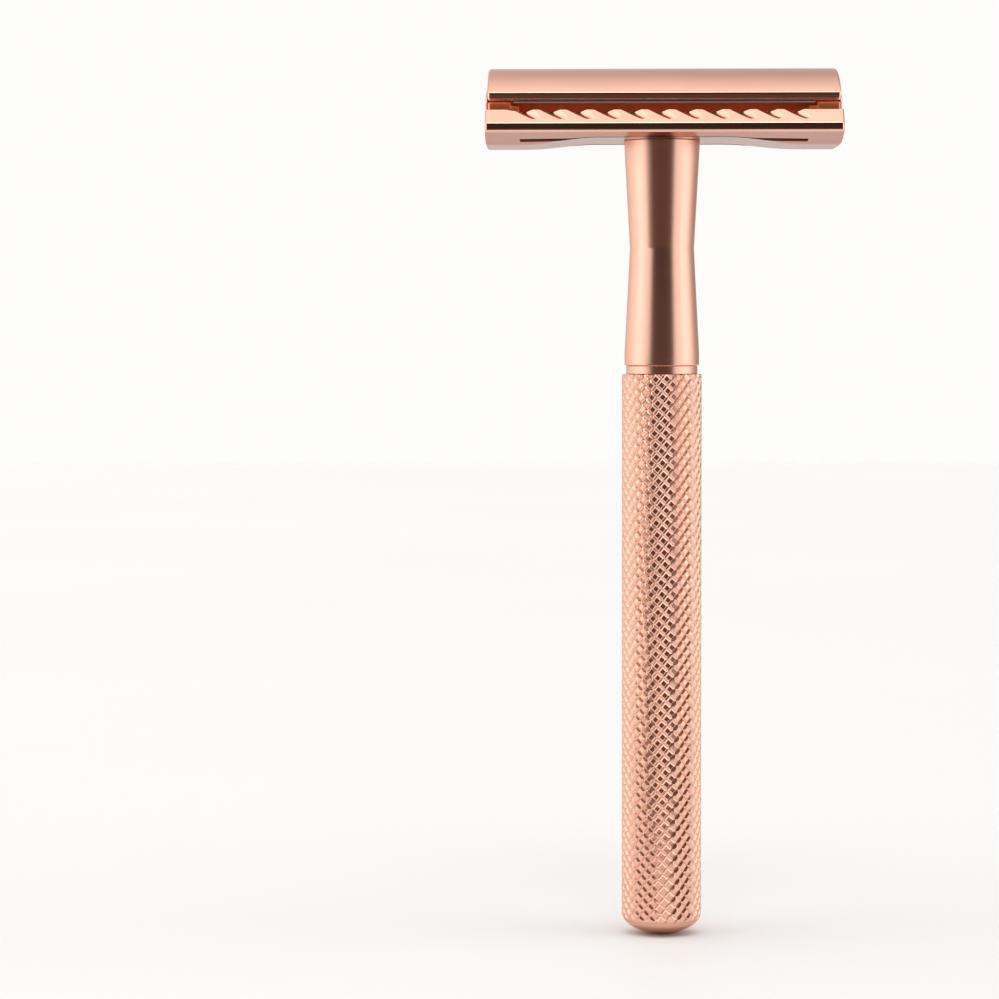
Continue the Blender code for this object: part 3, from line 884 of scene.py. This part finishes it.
def make_studio_light():
    """White studio: bright panels left and right, dimmer behind, and a dark room towards -Y.

    The light's level is a function of direction. Azimuth is 0 towards -Y and 180 towards +Y, the
    same on both sides, and elevation is 90 overhead. Both are given to step() in degrees.
    """
    world = bpy.data.worlds.new("studio")
    bpy.context.scene.world = world
    world.use_nodes = True
    nodes, links = world.node_tree.nodes, world.node_tree.links
    nodes.clear()
    direction = nodes.new("ShaderNodeTexCoord").outputs["Generated"]
    split = nodes.new("ShaderNodeSeparateXYZ")
    links.new(direction, split.inputs["Vector"])
    x, y, z = split.outputs["X"], split.outputs["Y"], split.outputs["Z"]

    def calc(operation, first, second=None):
        return math_node(nodes, links, operation, first, second)

    def step(value, low, high, out_low=0.0, out_high=1.0):
        return ramp_node(nodes, links, value, radians(low), radians(high), out_low, out_high)

    azimuth = calc("ABSOLUTE", calc("ARCTAN2", x, calc("MULTIPLY", y, -1.0)))
    elevation = calc("ARCSINE", z)
    right = ramp_node(nodes, links, x, -0.6, 0.6, 0.0, 1.0)
    # The wall, with its brightest panels beside the razor.
    panel = calc("MULTIPLY", step(azimuth, 52, 76), step(azimuth, 80, 112, 1.0, 0.0))
    level = calc("ADD", calc("MULTIPLY", panel, PANEL_GAIN), WALL_LEVEL)
    # High in front: a broad overhead panel, and in it a narrower bright strip.
    over = calc("MULTIPLY", step(elevation, 50, 58), step(azimuth, 50, 80, 1.0, 0.0))
    over = calc("MULTIPLY", over, step(elevation, 70, 84, OVERHEAD_GAIN, 0.0))
    strip = calc("MULTIPLY", step(elevation, 46, 54), step(azimuth, 14, 34, 1.0, 0.0))
    strip = calc("MULTIPLY", strip, step(elevation, 66, 76, STRIP_GAIN, 0.0))
    over = calc("ADD", over, strip)
    level = calc("ADD", calc("ADD", level, over), step(elevation, 60, 80, 0.0, CEILING_GAIN))
    # Dimmer behind, below the ceiling, and more so on the right.
    fall = calc("ADD", calc("MULTIPLY", right, 0.44), 0.28)
    behind = step(calc("ADD", azimuth, calc("MULTIPLY", right, radians(18))), 112, 152)
    low = step(elevation, 34, 74, 1.0, 0.0)
    level = calc("SUBTRACT", level, calc("MULTIPLY", calc("MULTIPLY", behind, low), fall))
    scaled = nodes.new("ShaderNodeVectorMath")
    scaled.operation = "SCALE"
    scaled.inputs[0].default_value = WHITE
    links.new(level, scaled.inputs["Scale"])
    # The dark room in front, a little wider on the left below the horizon.
    lean = calc("MULTIPLY", calc("SUBTRACT", 1.0, right), step(elevation, -5, 2, 1.0, 0.0))
    narrowed = calc("SUBTRACT", azimuth, calc("MULTIPLY", lean, radians(13)))
    narrow = step(narrowed, 31, 44, 1.0, 0.0)
    front = calc("MULTIPLY", narrow, step(elevation, 38, 52, 1.0, 0.0))
    dark = mix_node(nodes, links, step(elevation, 1, 14), ROOM_DARK, DARK_TOP)
    colour = mix_node(nodes, links, front, scaled.outputs["Vector"], dark)
    seen = nodes.new("ShaderNodeLightPath").outputs["Is Camera Ray"]
    colour = mix_node(nodes, links, seen, colour, BACKDROP)
    background = nodes.new("ShaderNodeBackground")
    links.new(colour, background.inputs["Color"])
    output = nodes.new("ShaderNodeOutputWorld")
    links.new(background.outputs["Background"], output.inputs["Surface"])


CAMERA_PLACE = (-12.26, -460.0, 77.27)
CAMERA_YAW = 1.044
CAMERA_PITCH = 2.715
CAMERA_ROLL = -0.068
LENS = 130.3


def make_camera():
    """Long lens in front, level with the foot of the neck, turned a little left and down."""
    data = bpy.data.cameras.new("camera")
    camera = bpy.data.objects.new("camera", data)
    bpy.context.scene.collection.objects.link(camera)
    data.sensor_width = 36.0
    data.lens = LENS
    data.clip_start = 0.01
    data.clip_end = 20.0
    yaw, pitch, roll = radians(CAMERA_YAW), radians(CAMERA_PITCH), radians(CAMERA_ROLL)
    forward = Vector((-sin(yaw) * cos(pitch), cos(yaw) * cos(pitch), -sin(pitch)))
    right = Vector((cos(yaw), sin(yaw), 0.0))
    up = right.cross(forward)
    turned_right = right * cos(roll) + up * sin(roll)
    turned_up = up * cos(roll) - right * sin(roll)
    turn = Matrix((turned_right, turned_up, -forward)).transposed()
    camera.matrix_world = Matrix.Translation(Vector(CAMERA_PLACE) * MM) @ turn.to_4x4()
    bpy.context.scene.camera = camera


def main():
    make_cap()
    make_guard()
    make_blade()
    make_stud()
    make_pin("pin_left", "locating_pin_left")
    make_pin("pin_right", "locating_pin_right")
    make_neck()
    make_ring()
    make_grip()
    make_end_cap()
    for node, material in (("thread_insert", PLAIN_BRASS), ("tie_rod", PLAIN_STEEL)):
        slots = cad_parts[node].data.materials
        slots.clear()
        slots.append(material)
    make_floor()
    make_studio_light()
    make_camera()
    bpy.context.scene.view_settings.view_transform = "Standard"


main()
